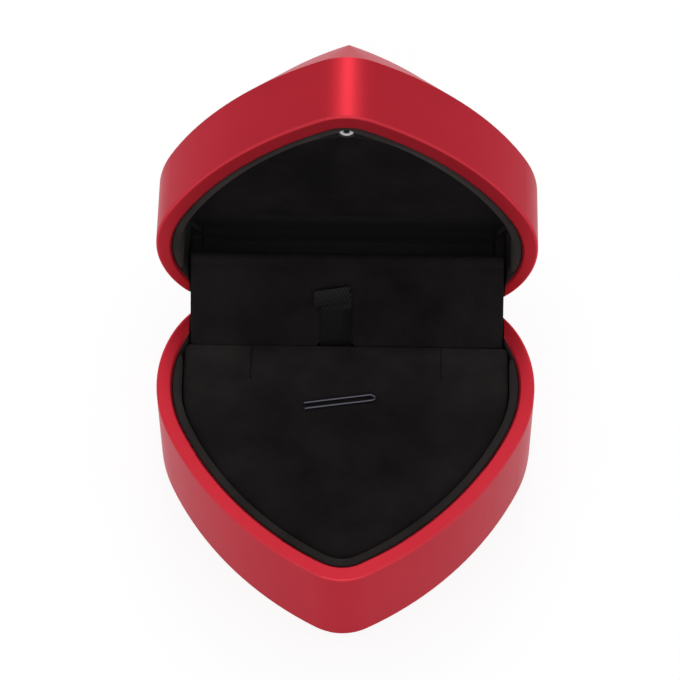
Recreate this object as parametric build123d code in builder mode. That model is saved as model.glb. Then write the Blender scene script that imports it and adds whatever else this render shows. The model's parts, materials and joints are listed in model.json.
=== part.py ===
from build123d import *
import os
from math import acos, atan2, cos, degrees, hypot, radians, sin, sqrt

# A heart-shaped pendant box standing open, with a light in its lid.
# All lengths are in millimetres. +Z is up, the heart's tip points to -Y,
# and the origin lies on the surface below the middle of the widest line.

# Outline of the heart, seen from above. The arcs of the lobes are shares of half the width.
half_width = 37.5
tip_reach = 44.35
tip_radius = 10.7
side_radius = 68.4
front_lobe_share = 0.7536
back_lobe_share = 0.672
crown_share = 0.5333
inner_crown_share = 0.345
cleft_share = 0.1067
back_lobe_turn = 25
cleft_depth = 5.15

# Shells
base_height = 22.9
rim_width = 3.1
floor_thickness = 2.4
lid_wall_height = 14.0
lid_cavity_shift = 0.6
bevel_height = 11.0
bevel_thickness = 2.6
bevel_round = 0.5
apex_radius = 0.2
roof_thickness = 4.2
seam_gap = 0.3
rim_round = 0.5
bottom_round = 0.5
felt_thickness = 0.8
felt_inset = 3.0
felt_stand = 0.2

# Hinge at the cleft
barrel_radius = 1.5
pin_radius = 0.8
pin_clearance = 0.05
pin_head_radius = 1.2
pin_head_length = 0.6
base_knuckle_end = 2.4
lid_knuckle_end = 6.8
knuckle_gap = 0.15
leaf_thickness = 0.6
leaf_side_gap = 0.2
leaf_length = 9.0
rivet_radius = 0.7
rivet_head_radius = 1.3
rivet_head_height = 0.5
rivet_edge = 2.0
rivet_drop = 6.0
bay_clearance = 0.4
bay_half_width = 9.6
relief_gap = 0.3
open_angle = 90

# Floating cover over the hinge, which turns half as far as the lid
cover_end_gap = 6.3
cover_reach = 5.0
cover_padding = 1.0
cover_low = 7.2
cover_lip = 0.6
cover_high = 9.3
cover_roll_radius = 1.2
cover_roll_rise = 10.0
cover_roll_set = 0.2
cover_end_round = 0.45
plate_thickness = 0.8
plate_end_gap = 1.8
plate_margin = 0.4
plate_top = 8.6
ear_thickness = 1.4
ear_radius = 1.3
ear_clearance = 0.25
pocket_clearance = 0.35
pocket_reach = 8.35
pocket_depth = 8.0
panel_thickness = 0.35
panel_clearance = 0.4
flange_reach = 7.55

# Base lining and pendant pad
lining_clearance = 0.1
base_roll = 1.8
base_tip_blunt = 1.0
base_roll_low = 0.35
roll_round = 0.3
roll_end_share = 0.25
pad_clearance = 0.3
pad_low = 1.3
pad_thickness = 3.2
pad_reach = 9.05
pad_round = 0.8
pad_corner_round = 1.6
board_thickness = 1.5
ledge_width = 2.2
rail_set = 0.3
rail_thickness = 1.8
slit_spread = 18.9
slit_length = 7.6
slit_width = 0.6

# Elastic loop across the pad
elastic_radius = 0.3
elastic_gap = 0.05
elastic_left_x = -7.95
elastic_left_y = -5.05
elastic_right_x = 5.9
elastic_right_y = -2.85
elastic_spread = 1.3
elastic_bend = 0.75
elastic_turn = 0.55
elastic_hole_radius = 0.45
elastic_tail = 0.9
crimp_length = 2.6
crimp_width = 1.5
crimp_height = 1.2

# Pull ribbon at the back of the pad
ribbon_x = -2.3
ribbon_width = 6.4
ribbon_thickness = 0.4
ribbon_gap = 0.1
ribbon_glue_length = 7.0
ribbon_length = 11.2
ribbon_hem_length = 3.3
ribbon_hem_width = 7.0
ribbon_joint_low = 0.2
ribbon_bend_gap = 0.35

# Lid lining and light
lid_roll = 1.9
lid_tip_blunt = 11.3
lid_roll_low = 0.5
lid_roll_end_share = 0.255
ceiling_board_low = 13.3
ceiling_board_thickness = 1.3
ceiling_board_inset = 4.4
ceiling_pad_thickness = 1.0
ceiling_pad_clearance = 0.2
ceiling_pad_reach = 12.35
ceiling_pad_round = 0.4
led_tip_inset = 5.95
led_radius = 1.5
led_edge_round = 0.3
led_flange_radius = 1.9
led_flange_length = 1.0
led_length = 4.6
led_low = 1.2
led_holder_radius = 2.3
led_holder_low = 1.5
led_holder_high = 7.6
led_clearance = 0.05
lead_radius = 0.3
lead_hole_radius = 0.5
lead_spread = 1.27
lead_bend = 1.2
circuit_length = 28.0
circuit_width = 15.0
circuit_thickness = 1.0
circuit_y = -14.0
cell_radius = 6.25
cell_height = 2.0
cell_clearance = 0.15
cell_x = -4.2
holder_wall = 0.8
holder_floor = 0.5
contact_width = 4.0
contact_thickness = 0.25
switch_radius = 1.6
switch_length = 9.0
switch_x = 7.4
screw_radius = 0.8
screw_head_radius = 1.5
screw_head_height = 0.7
circuit_screw_length = 2.0
circuit_screw_edge = 1.8
boss_radius = 2.2
boss_front_x = 8.5
boss_front_y = -26.0
boss_back_x = 17.5
boss_back_y = 1.0
board_screw_length = 4.2

# Overrun of every cut past the faces that it goes through
overrun = 5.0


# Centres and turning points of the outline's arcs
front_lobe_radius = front_lobe_share * half_width
back_lobe_radius = back_lobe_share * half_width
crown_radius = crown_share * half_width
inner_crown_radius = inner_crown_share * half_width
cleft_radius = cleft_share * half_width
front_lobe_x = half_width - front_lobe_radius
back_lobe_x = half_width - back_lobe_radius
tip_y = tip_radius - tip_reach
crown_shift = back_lobe_radius - crown_radius
crown_x = back_lobe_x + crown_shift * cos(radians(back_lobe_turn))
crown_y = crown_shift * sin(radians(back_lobe_turn))
back_reach = crown_y + crown_radius
inner_crown_y = back_reach - inner_crown_radius
land_y = back_reach - cleft_depth
cleft_y = land_y + cleft_radius
cleft_rise = cleft_y - inner_crown_y
cleft_x = crown_x - sqrt((inner_crown_radius + cleft_radius) ** 2 - cleft_rise**2)
cleft_turn = degrees(atan2(crown_x - cleft_x, cleft_rise))

# The side arc touches the front lobe's arc and the tip's arc from outside
lobe_to_tip = hypot(front_lobe_x, tip_y)
lobe_to_side = side_radius - front_lobe_radius
tip_to_side = side_radius - tip_radius
side_along = (lobe_to_side**2 - tip_to_side**2 + lobe_to_tip**2) / (2 * lobe_to_tip)
side_across = sqrt(lobe_to_side**2 - side_along**2)
side_x = front_lobe_x - (side_along * front_lobe_x - side_across * tip_y) / lobe_to_tip
side_y = (side_along * tip_y + side_across * front_lobe_x) / lobe_to_tip
lobe_angle = degrees(atan2(-side_y, front_lobe_x - side_x))

# Places that several pieces share
hinge_y = land_y + barrel_radius
leaf_half_width = cleft_x - leaf_side_gap
rivet_spread = leaf_half_width - rivet_edge
half_angle = open_angle / 2
lid_height = lid_wall_height + bevel_height
bevel_inset = tip_radius - apex_radius
bevel_slope = bevel_height / bevel_inset
bevel_drop = bevel_thickness * hypot(bevel_inset, bevel_height) / bevel_inset
lid_cavity_wall = lid_wall_height + bevel_slope * rim_width - bevel_drop
lid_cavity_height = lid_height - roof_thickness
bevel_angle = degrees(atan2(bevel_inset, bevel_height))
cover_half_width = half_width - cover_end_gap
plate_half_width = cover_half_width - plate_end_gap
cover_front_y = hinge_y - cover_reach
plate_front_y = cover_front_y + cover_padding
plate_back_y = plate_front_y + plate_thickness
roll_y = cover_front_y + cover_roll_set
panel_front_y = plate_back_y + panel_clearance
panel_back_y = panel_front_y + panel_thickness
pocket_mid_y = roll_y + cover_roll_radius + pocket_clearance
pocket_front = hinge_y - pocket_reach
flange_front_y = hinge_y - flange_reach
ear_start = lid_knuckle_end + knuckle_gap
ear_end = ear_start + ear_thickness
pin_end = ear_end + knuckle_gap
lining_inset = rim_width + lining_clearance
base_well_inset = rim_width + base_roll
lid_well_inset = rim_width + lid_roll
roll_end_y = roll_end_share * back_lobe_radius
lid_roll_end_y = lid_roll_end_share * back_lobe_radius
pad_inset = base_well_inset + pad_clearance
pad_back_y = hinge_y - pad_reach
rail_back_y = pad_back_y - rail_set
pad_bottom = pad_low + pad_thickness
board_bottom = pad_bottom + board_thickness
floor_top = base_height - floor_thickness - felt_stand
led_y = led_tip_inset - tip_reach
ceiling_board_high = ceiling_board_low + ceiling_board_thickness
circuit_low = ceiling_board_high
circuit_high = circuit_low + circuit_thickness


def swung(angle, height=0):
    """Plane at a height over the rim of a piece that is swung open by an angle."""
    turn = radians(angle)
    origin = (0, hinge_y * (1 - cos(turn)), base_height + hinge_y * sin(turn))
    rim = Plane(origin=origin, x_dir=(1, 0, 0), z_dir=(0, sin(turn), cos(turn)))
    return rim.offset(height)


def in_base(height=0):
    return swung(0, height)


def in_cover(height=0):
    return swung(half_angle, height)


def in_lid(height=0):
    return swung(open_angle, height)


def in_lid_lining(height=0):
    """Plane in the lid set back towards the hinge, which leaves the lid's rim widest at the tip."""
    rim = in_lid(height)
    origin = rim.from_local_coords((0, lid_cavity_shift, 0))
    return Plane(origin=origin, x_dir=rim.x_dir, z_dir=rim.z_dir)


def heart(plane, inset=0, blunt=0):
    """The heart's outline, drawn in by an inset, with a larger tip radius where it is blunt."""
    side = side_radius - inset
    nose = tip_radius - inset + blunt
    with BuildSketch(plane) as outline:
        with BuildLine():
            if nose > 0:
                nose_y = side_y - sqrt((side - nose) ** 2 - side_x**2)
                side_start = degrees(atan2(nose_y - side_y, -side_x))
                CenterArc((0, nose_y), nose, -90, 90 + side_start)
            else:
                side_start = -degrees(acos(-side_x / side))
            CenterArc((side_x, side_y), side, side_start, lobe_angle - side_start)
            CenterArc((front_lobe_x, 0), front_lobe_radius - inset, lobe_angle, -lobe_angle)
            CenterArc((back_lobe_x, 0), back_lobe_radius - inset, 0, back_lobe_turn)
            CenterArc((crown_x, crown_y), crown_radius - inset, back_lobe_turn, 90 - back_lobe_turn)
            CenterArc((crown_x, inner_crown_y), inner_crown_radius - inset, 90, cleft_turn)
            CenterArc((cleft_x, cleft_y), cleft_radius + inset, 270 + cleft_turn, -cleft_turn)
            Line((cleft_x, land_y - inset), (0, land_y - inset))
            mirror(about=Plane.YZ)
        make_face()
    return outline.sketch


def slab(plane, half, front, back):
    """A rectangle across the box, between two places along Y."""
    with BuildSketch(plane) as outline:
        with Locations((0, (front + back) / 2)):
            Rectangle(2 * half, back - front)
    return outline.sketch


def pair(plane, inner, outer, front, back):
    """Two rectangles, one each side of the middle."""
    with BuildSketch(plane) as outline:
        for side in (-1, 1):
            with Locations((side * (inner + outer) / 2, (front + back) / 2)):
                Rectangle(outer - inner, back - front)
    return outline.sketch


def well(plane, inset, back, blunt):
    """A blunt heart with straight flanks behind its widest line and a square back."""
    with BuildSketch(plane) as outline:
        add(heart(Plane.XY, inset, blunt))
        with Locations((0, back / 2)):
            Rectangle(2 * (half_width - inset), back)
        with Locations((0, back + half_width)):
            Rectangle(4 * half_width, 2 * half_width, mode=Mode.SUBTRACT)
    return outline.sketch


def front_of(plane, inset, back):
    """The part of the heart's outline in front of a line across it."""
    with BuildSketch(plane) as outline:
        add(heart(Plane.XY, inset))
        with Locations((0, back + half_width)):
            Rectangle(4 * half_width, 2 * half_width, mode=Mode.SUBTRACT)
    return outline.sketch


def discs(plane, radius, places):
    """Equal circles at a list of places."""
    with BuildSketch(plane) as outline:
        with Locations(*places):
            Circle(radius)
    return outline.sketch


def across(place):
    """Plane square to the hinge pin, from which pieces run along +X."""
    return Plane(origin=place, x_dir=(0, 1, 0), z_dir=(1, 0, 0))


def ring_round_pin(start, radius):
    """A circle round the hinge pin."""
    with BuildSketch(across((start, hinge_y, base_height))) as outline:
        Circle(radius)
    return outline.sketch


def finish(builder, name):
    """Name a finished piece and write it."""
    builder.part.label = name
    export_step(builder.part, f"parts/{name}.step")


os.makedirs("parts", exist_ok=True)

ground = Plane.XY.offset(felt_stand)
sides = (("base", 0, -1), ("lid", open_angle, 1))


def cut_hinge_room(angle, side, pocket):
    """Cut a shell's pocket for the cover, its hinge bay, ear slots and relief behind the pin."""
    far = side * (pocket + overrun)
    half_pocket = cover_half_width + pocket_clearance
    half_plate = plate_half_width + pocket_clearance
    ends = swung(angle, side * pocket)
    extrude(slab(ends, half_pocket, pocket_front, pocket_mid_y), amount=-far, mode=Mode.SUBTRACT)
    extrude(slab(ends, half_plate, pocket_front, panel_back_y), amount=-far, mode=Mode.SUBTRACT)
    bay_end = swung(angle, side * (barrel_radius + bay_clearance))
    bay = slab(bay_end, bay_half_width, land_y - bay_clearance, back_reach + overrun)
    extrude(bay, amount=-far, mode=Mode.SUBTRACT)
    extrude(ear_slots(angle, side), amount=-far, mode=Mode.SUBTRACT)
    relief = slab(swung(half_angle, side * relief_gap), half_width, hinge_y, back_reach + lid_height)
    extrude(relief, amount=-side * lid_height, mode=Mode.SUBTRACT)
    extrude(rivet_circles(angle, side, rivet_radius), amount=land_y - panel_back_y, mode=Mode.SUBTRACT)


def ear_slots(angle, side):
    """Slots in which the cover's ears and the pin's heads turn."""
    slot_end = swung(angle, side * (ear_radius + ear_clearance))
    slot_outer = pin_end + pin_head_length + ear_clearance
    return pair(slot_end, ear_start - ear_clearance, slot_outer, panel_front_y - overrun, land_y)


def rivet_circles(angle, side, radius, lift=0):
    """Circles at the rivets of one hinge leaf, facing the back of the box."""
    body = swung(angle)
    face = Plane(origin=body.from_local_coords((0, panel_back_y, 0)), x_dir=(1, 0, 0), z_dir=body.y_dir)
    places = [(x, -side * rivet_drop) for x in (-rivet_spread, rivet_spread)]
    return discs(face.offset(lift), radius, places)


# Base shell: a lacquered cup
with BuildPart() as base_shell:
    extrude(heart(ground), amount=base_height - felt_stand - seam_gap / 2)
    extrude(heart(in_base(-floor_top), rim_width), amount=base_height, mode=Mode.SUBTRACT)
    fillet(base_shell.faces().sort_by(Axis.Z)[-1].edges(), rim_round)
    fillet(base_shell.faces().sort_by(Axis.Z)[0].edges(), bottom_round)
    extrude(heart(ground, felt_inset), amount=felt_thickness - felt_stand, mode=Mode.SUBTRACT)
    cut_hinge_room(0, -1, pocket_depth)
finish(base_shell, "base_shell")

# Felt sheet under the base
with BuildPart() as bottom_felt:
    extrude(heart(Plane.XY, felt_inset), amount=felt_thickness)
finish(bottom_felt, "bottom_felt")

# Base lining: a rolled collar round the pad and a ledge that carries the pad
with BuildPart() as base_liner:
    collar = front_of(in_base(-board_bottom), lining_inset, roll_end_y)
    extrude(collar, amount=board_bottom - base_roll_low)
    opening_back = rail_back_y + overrun
    roll_opening = well(in_base(-board_bottom), base_well_inset, opening_back, base_tip_blunt)
    extrude(roll_opening, amount=base_height, mode=Mode.SUBTRACT)
    fillet(base_liner.faces().sort_by(Axis.Z)[-1].edges(), roll_round)
    ledge_height = floor_top - board_bottom
    extrude(front_of(in_base(-floor_top), lining_inset, rail_back_y), amount=ledge_height)
    rail_front_y = rail_back_y - rail_thickness
    ledge_hole = front_of(in_base(-floor_top), base_well_inset + ledge_width, rail_front_y)
    extrude(ledge_hole, amount=ledge_height, mode=Mode.SUBTRACT)
    with BuildSketch(in_base(-board_bottom)):
        with Locations((ribbon_x, rail_back_y)):
            Rectangle(ribbon_width + 2 * ribbon_bend_gap, 2 * rail_thickness + overrun)
    extrude(amount=-ribbon_thickness - ribbon_bend_gap, mode=Mode.SUBTRACT)
finish(base_liner, "base_liner")

# Back panels of both shells, hinge leaves with their knuckles, and the leaves' rivets.
# The lid's panel has a flange under the ceiling board.
panel_spans = {"base": (base_roll_low, pocket_depth), "lid": (lid_roll_low, ceiling_board_low)}
knuckle_spans = {
    "base": [(-base_knuckle_end, base_knuckle_end)],
    "lid": [
        (-lid_knuckle_end, -base_knuckle_end - knuckle_gap),
        (base_knuckle_end + knuckle_gap, lid_knuckle_end),
    ],
}
for name, angle, side in sides:
    panel_start, panel_end = panel_spans[name]
    with BuildPart() as back_panel:
        panel = slab(swung(angle, side * panel_start), plate_half_width, panel_front_y, panel_back_y)
        extrude(panel, amount=side * (panel_end - panel_start))
        if name == "lid":
            flange = slab(swung(angle, panel_end), plate_half_width, flange_front_y, panel_back_y)
            extrude(flange, amount=-panel_thickness)
        extrude(ear_slots(angle, side), amount=-side * pocket_depth, mode=Mode.SUBTRACT)
    finish(back_panel, f"{name}_back_panel")

    other = "lid" if name == "base" else "base"
    pin_fit = pin_radius if name == "base" else pin_radius + pin_clearance
    with BuildPart() as hinge_leaf:
        leaf = slab(swung(angle), leaf_half_width, land_y, land_y + leaf_thickness)
        extrude(leaf, amount=side * leaf_length)
        for start, end in knuckle_spans[other]:
            room = ring_round_pin(start - knuckle_gap, barrel_radius + bay_clearance)
            extrude(room, amount=end - start + 2 * knuckle_gap, mode=Mode.SUBTRACT)
        for start, end in knuckle_spans[name]:
            extrude(ring_round_pin(start, barrel_radius), amount=end - start)
            extrude(ring_round_pin(start, pin_fit), amount=end - start, mode=Mode.SUBTRACT)
        shank_length = land_y + leaf_thickness - panel_back_y
        extrude(rivet_circles(angle, side, rivet_radius), amount=shank_length, mode=Mode.SUBTRACT)
    finish(hinge_leaf, f"{name}_hinge_leaf")

    with BuildPart() as leaf_rivets:
        extrude(rivet_circles(angle, side, rivet_radius), amount=shank_length)
        extrude(rivet_circles(angle, side, rivet_head_radius, shank_length), amount=rivet_head_height)
    finish(leaf_rivets, f"{name}_leaf_rivets")

# Hinge pin, with a head at each end
with BuildPart() as hinge_pin:
    extrude(ring_round_pin(-pin_end, pin_radius), amount=2 * pin_end)
    for start in (-pin_end - pin_head_length, pin_end):
        extrude(ring_round_pin(start, pin_head_radius), amount=pin_head_length)
finish(hinge_pin, "hinge_pin")

# Cover plate, hung on the hinge pin by two ears
with BuildPart() as cover_plate:
    plate_low = cover_low - cover_lip - plate_margin
    plate = slab(in_cover(-plate_low), plate_half_width, plate_front_y, plate_back_y)
    extrude(plate, amount=plate_low + plate_top)
    arms = pair(in_cover(-ear_radius), ear_start, ear_end, plate_front_y, hinge_y)
    extrude(arms, amount=2 * ear_radius)
    for start in (-ear_end, ear_start):
        extrude(ring_round_pin(start, ear_radius), amount=ear_thickness)
        bore = ring_round_pin(start, pin_radius + pin_clearance)
        extrude(bore, amount=ear_thickness, mode=Mode.SUBTRACT)
finish(cover_plate, "cover_plate")

# Suede pad of the cover, with a roll along its upper edge and its lower lip cut away at the ribbon
with BuildPart() as cover_pad:
    face = slab(in_cover(-cover_low), cover_half_width, cover_front_y, plate_front_y)
    extrude(face, amount=cover_low + cover_high)
    end_edges = cover_pad.edges().filter_by(Axis((0, 0, 0), in_cover().z_dir))
    fillet(end_edges, cover_end_round)
    roll_centre = in_cover().from_local_coords((-cover_half_width, roll_y, cover_roll_rise))
    with BuildSketch(across(roll_centre)):
        Circle(cover_roll_radius)
    extrude(amount=2 * cover_half_width)
    with BuildSketch(in_cover(-cover_low)):
        with Locations((ribbon_x, cover_front_y)):
            Rectangle(ribbon_width + 2 * ribbon_bend_gap, 2 * (cover_padding + overrun))
    extrude(amount=cover_lip, mode=Mode.SUBTRACT)
finish(cover_pad, "cover_pad")

# Route of the elastic: up through the pad, across it, under the board and back
elastic_top = base_height - pad_low + elastic_radius + elastic_gap
elastic_low = base_height - board_bottom - elastic_tail
elastic_run = Vector(elastic_right_x - elastic_left_x, elastic_right_y - elastic_left_y)
elastic_aside = elastic_run.normalized().rotate(Axis.Z, 90) * (elastic_spread / 2)
strand_ends = []
for shift in (elastic_aside, -elastic_aside):
    strand_ends.append(Vector(elastic_left_x, elastic_left_y) + shift)
    strand_ends.append(Vector(elastic_right_x, elastic_right_y) + shift)
strand_places = [(place.X, place.Y) for place in strand_ends]

# Stiff board under the pendant pad
with BuildPart() as pad_board:
    board = well(in_base(-board_bottom), pad_inset, pad_back_y, base_tip_blunt)
    extrude(board, amount=board_thickness)
    fillet(pad_board.edges().filter_by(Axis.Z).group_by(Axis.Y)[-1], pad_corner_round)
    holes = discs(in_base(-board_bottom), elastic_hole_radius, strand_places)
    extrude(holes, amount=board_thickness, mode=Mode.SUBTRACT)
finish(pad_board, "pad_board")

# Pendant pad: suede over foam, with two chain slits from its back edge
with BuildPart() as pendant_pad:
    extrude(well(in_base(-pad_bottom), pad_inset, pad_back_y, base_tip_blunt), amount=pad_thickness)
    fillet(pendant_pad.edges().filter_by(Axis.Z).group_by(Axis.Y)[-1], pad_corner_round)
    fillet(pendant_pad.faces().sort_by(Axis.Z)[-1].edges(), pad_round)
    slit_inner = slit_spread - slit_width / 2
    slit_outer = slit_inner + slit_width
    slits = pair(in_base(-pad_bottom), slit_inner, slit_outer, pad_back_y - slit_length, pad_back_y)
    extrude(slits, amount=pad_thickness, mode=Mode.SUBTRACT)
    holes = discs(in_base(-pad_bottom), elastic_hole_radius, strand_places)
    extrude(holes, amount=pad_thickness, mode=Mode.SUBTRACT)
finish(pendant_pad, "pendant_pad")

# Elastic loop that holds the pendant, one unbroken cord
with BuildPart() as elastic_loop:
    left_a, right_a, left_b, right_b = strand_ends
    with BuildLine() as route:
        FilletPolyline(
            (left_a.X, left_a.Y, elastic_low),
            (left_a.X, left_a.Y, elastic_top),
            (right_a.X, right_a.Y, elastic_top),
            (right_a.X, right_a.Y, elastic_low),
            (right_b.X, right_b.Y, elastic_low),
            (right_b.X, right_b.Y, elastic_top),
            (left_b.X, left_b.Y, elastic_top),
            (left_b.X, left_b.Y, elastic_low),
            radius=[elastic_bend] * 2 + [elastic_turn] * 2 + [elastic_bend] * 2,
        )
    with BuildSketch(Plane(origin=route.line @ 0, z_dir=route.line % 0)):
        Circle(elastic_radius)
    sweep(path=route.line)
finish(elastic_loop, "elastic_loop")

# Crimp that closes the elastic's two ends under the board
with BuildPart() as elastic_crimp:
    with BuildSketch(in_base(-board_bottom)):
        with Locations((elastic_left_x, elastic_left_y)):
            RectangleRounded(crimp_width, crimp_length, crimp_width / 3)
    extrude(amount=-crimp_height)
    crimped = discs(in_base(-board_bottom), elastic_radius, [strand_places[0], strand_places[2]])
    extrude(crimped, amount=-elastic_tail, mode=Mode.SUBTRACT)
finish(elastic_crimp, "elastic_crimp")

# Glued end of the pull ribbon, under the board and up behind the pad
ribbon_front_y = pad_back_y + ribbon_gap
ribbon_back_y = ribbon_front_y + ribbon_thickness
with BuildPart() as ribbon_anchor:
    with BuildSketch(in_base(-board_bottom)):
        with Locations((ribbon_x, ribbon_back_y - ribbon_glue_length / 2)):
            Rectangle(ribbon_width, ribbon_glue_length)
    extrude(amount=-ribbon_thickness)
    with BuildSketch(in_base(-board_bottom)):
        with Locations((ribbon_x, ribbon_front_y + ribbon_thickness / 2)):
            Rectangle(ribbon_width, ribbon_thickness)
    extrude(amount=board_bottom - pad_low - ribbon_joint_low)
finish(ribbon_anchor, "ribbon_anchor")

# Free end of the pull ribbon, leaning on the cover, with a folded hem
lean_back_y = cover_front_y - ribbon_bend_gap
lean_start = cover_low - cover_lip + ribbon_bend_gap
with BuildPart() as pull_ribbon:
    with BuildSketch(in_cover(-lean_start)):
        with Locations((ribbon_x, lean_back_y - ribbon_thickness / 2)):
            Rectangle(ribbon_width, ribbon_thickness)
    extrude(amount=ribbon_length)
    with BuildSketch(in_cover(ribbon_length - lean_start - ribbon_hem_length)):
        with Locations((ribbon_x, lean_back_y - ribbon_thickness)):
            Rectangle(ribbon_hem_width, 2 * ribbon_thickness)
    extrude(amount=ribbon_hem_length)
finish(pull_ribbon, "pull_ribbon")

boss_places = [(side * boss_back_x, boss_back_y) for side in (-1, 1)]
boss_places += [(side * boss_front_x, boss_front_y) for side in (-1, 1)]

# Lid shell: straight wall, wide bevel and flat top, with bosses for the ceiling board
with BuildPart() as lid_shell:
    extrude(heart(in_lid(seam_gap / 2)), amount=lid_wall_height - seam_gap / 2)
    extrude(heart(in_lid(lid_wall_height)), amount=bevel_height, taper=bevel_angle)
    bevel_start_y = hinge_y + lid_wall_height
    bevel_edges = lid_shell.edges().filter_by_position(Axis.Y, bevel_start_y, bevel_start_y)
    bevel_edges += lid_shell.faces().sort_by(Axis.Y)[-1].edges()
    fillet(bevel_edges, bevel_round)
    extrude(heart(in_lid_lining(), rim_width), amount=lid_cavity_wall, mode=Mode.SUBTRACT)
    fillet(lid_shell.faces().sort_by(Axis.Y)[0].edges(), rim_round)
    bevel_cavity = heart(in_lid_lining(lid_cavity_wall), rim_width)
    bevel_room = lid_cavity_height - lid_cavity_wall
    extrude(bevel_cavity, amount=bevel_room, taper=bevel_angle, mode=Mode.SUBTRACT)
    boss_length = lid_cavity_height + roof_thickness / 2 - ceiling_board_high
    extrude(discs(in_lid(ceiling_board_high), boss_radius, boss_places), amount=boss_length)
    pilots = discs(in_lid(ceiling_board_high), screw_radius, boss_places)
    extrude(pilots, amount=board_screw_length, mode=Mode.SUBTRACT)
    cut_hinge_room(open_angle, 1, lid_cavity_wall)
finish(lid_shell, "lid_shell")

# Lid lining: a collar round the inside of the wall, with a hole for the lamp, its sleeve and its leads
with BuildPart() as lid_liner:
    collar = front_of(in_lid_lining(lid_roll_low), lining_inset, lid_roll_end_y)
    extrude(collar, amount=ceiling_board_low - lid_roll_low)
    opening_back = lid_roll_end_y + overrun
    opening = well(in_lid(lid_roll_low), lid_well_inset, opening_back, lid_tip_blunt)
    extrude(opening, amount=ceiling_board_low, mode=Mode.SUBTRACT)
    fillet(lid_liner.faces().sort_by(Axis.Y)[0].edges(), roll_round)
    lamp_hole = discs(in_lid(), led_radius + led_clearance, [(0, led_y)])
    extrude(lamp_hole, amount=led_holder_high, mode=Mode.SUBTRACT)
    notch = discs(in_lid(led_holder_low), led_holder_radius, [(0, led_y)])
    extrude(notch, amount=led_holder_high - led_holder_low, mode=Mode.SUBTRACT)
    leads = [(side * lead_spread / 2, led_y) for side in (-1, 1)]
    extrude(discs(in_lid(), lead_hole_radius, leads), amount=lid_height, mode=Mode.SUBTRACT)
finish(lid_liner, "lid_liner")

# Ceiling board, screwed to the lid's bosses
with BuildPart() as ceiling_board:
    board = heart(in_lid_lining(ceiling_board_low), ceiling_board_inset)
    extrude(board, amount=ceiling_board_thickness)
    extrude(discs(in_lid(), lead_hole_radius, leads), amount=lid_height, mode=Mode.SUBTRACT)
    extrude(discs(in_lid(), screw_radius, boss_places), amount=lid_height, mode=Mode.SUBTRACT)
    circuit_corner_x = circuit_length / 2 - circuit_screw_edge
    circuit_corner_y = circuit_width / 2 - circuit_screw_edge
    corners = [
        (-circuit_corner_x, circuit_y + circuit_corner_y),
        (circuit_corner_x, circuit_y - circuit_corner_y),
    ]
    extrude(discs(in_lid(), screw_radius, corners), amount=lid_height, mode=Mode.SUBTRACT)
finish(ceiling_board, "ceiling_board")

# Suede ceiling pad, over the heads of the board's screws
with BuildPart() as ceiling_pad:
    pad_face = in_lid(ceiling_board_low - ceiling_pad_thickness)
    ceiling_pad_inset = lid_well_inset + ceiling_pad_clearance
    ceiling_pad_back = hinge_y - ceiling_pad_reach
    pad_outline = well(pad_face, ceiling_pad_inset, ceiling_pad_back, lid_tip_blunt)
    extrude(pad_outline, amount=ceiling_pad_thickness)
    fillet(ceiling_pad.faces().sort_by(Axis.Y)[0].edges(), ceiling_pad_round)
    heads = discs(in_lid(ceiling_board_low), screw_head_radius, boss_places)
    extrude(heads, amount=-screw_head_height, mode=Mode.SUBTRACT)
    extrude(discs(in_lid(), led_holder_radius, [(0, led_y)]), amount=lid_height, mode=Mode.SUBTRACT)
finish(ceiling_pad, "ceiling_pad")

# Screws of the ceiling board
with BuildPart() as board_screws:
    extrude(heads, amount=-screw_head_height)
    shanks = discs(in_lid(ceiling_board_low), screw_radius, boss_places)
    extrude(shanks, amount=board_screw_length)
finish(board_screws, "board_screws")

# Light: a flat-faced lamp with a flange, its sleeve and its two leads
led_flange_low = led_low + led_length - led_flange_length
led_high = led_low + led_length
with BuildPart() as led:
    extrude(discs(in_lid(led_low), led_radius, [(0, led_y)]), amount=led_length)
    fillet(led.faces().sort_by(Axis.Y)[0].edges(), led_edge_round)
    flange = discs(in_lid(led_flange_low), led_flange_radius, [(0, led_y)])
    extrude(flange, amount=led_flange_length)
finish(led, "led")

with BuildPart() as led_holder:
    barrel = discs(in_lid(led_holder_low), led_holder_radius, [(0, led_y)])
    extrude(barrel, amount=led_holder_high - led_holder_low)
    sleeve = discs(in_lid(), led_radius + led_clearance, [(0, led_y)])
    extrude(sleeve, amount=lid_height, mode=Mode.SUBTRACT)
    seat = discs(in_lid(led_flange_low), led_flange_radius + led_clearance, [(0, led_y)])
    extrude(seat, amount=lid_height, mode=Mode.SUBTRACT)
    extrude(heart(in_lid_lining(), lining_inset), amount=lid_height, mode=Mode.INTERSECT)
finish(led_holder, "led_holder")

lead_height = circuit_low + circuit_thickness / 2
circuit_front_y = circuit_y - circuit_width / 2
with BuildPart() as led_leads:
    for side in (-1, 1):
        lead_x = side * lead_spread / 2
        bend_place = (lead_x, led_y, lead_height)
        lead_places = [(lead_x, led_y, led_high), bend_place, (lead_x, circuit_front_y, lead_height)]
        with BuildLine() as lead:
            route = [in_lid().from_local_coords(place) for place in lead_places]
            FilletPolyline(*route, radius=lead_bend)
        with BuildSketch(Plane(origin=lead.line @ 0, z_dir=lead.line % 0)):
            Circle(lead_radius)
        sweep(path=lead.line)
finish(led_leads, "led_leads")

# Circuit board behind the ceiling, with its two screws
with BuildPart() as circuit_board:
    with BuildSketch(in_lid(circuit_low)):
        with Locations((0, circuit_y)):
            Rectangle(circuit_length, circuit_width)
    extrude(amount=circuit_thickness)
    extrude(discs(in_lid(), screw_radius, corners), amount=lid_height, mode=Mode.SUBTRACT)
finish(circuit_board, "circuit_board")

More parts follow.
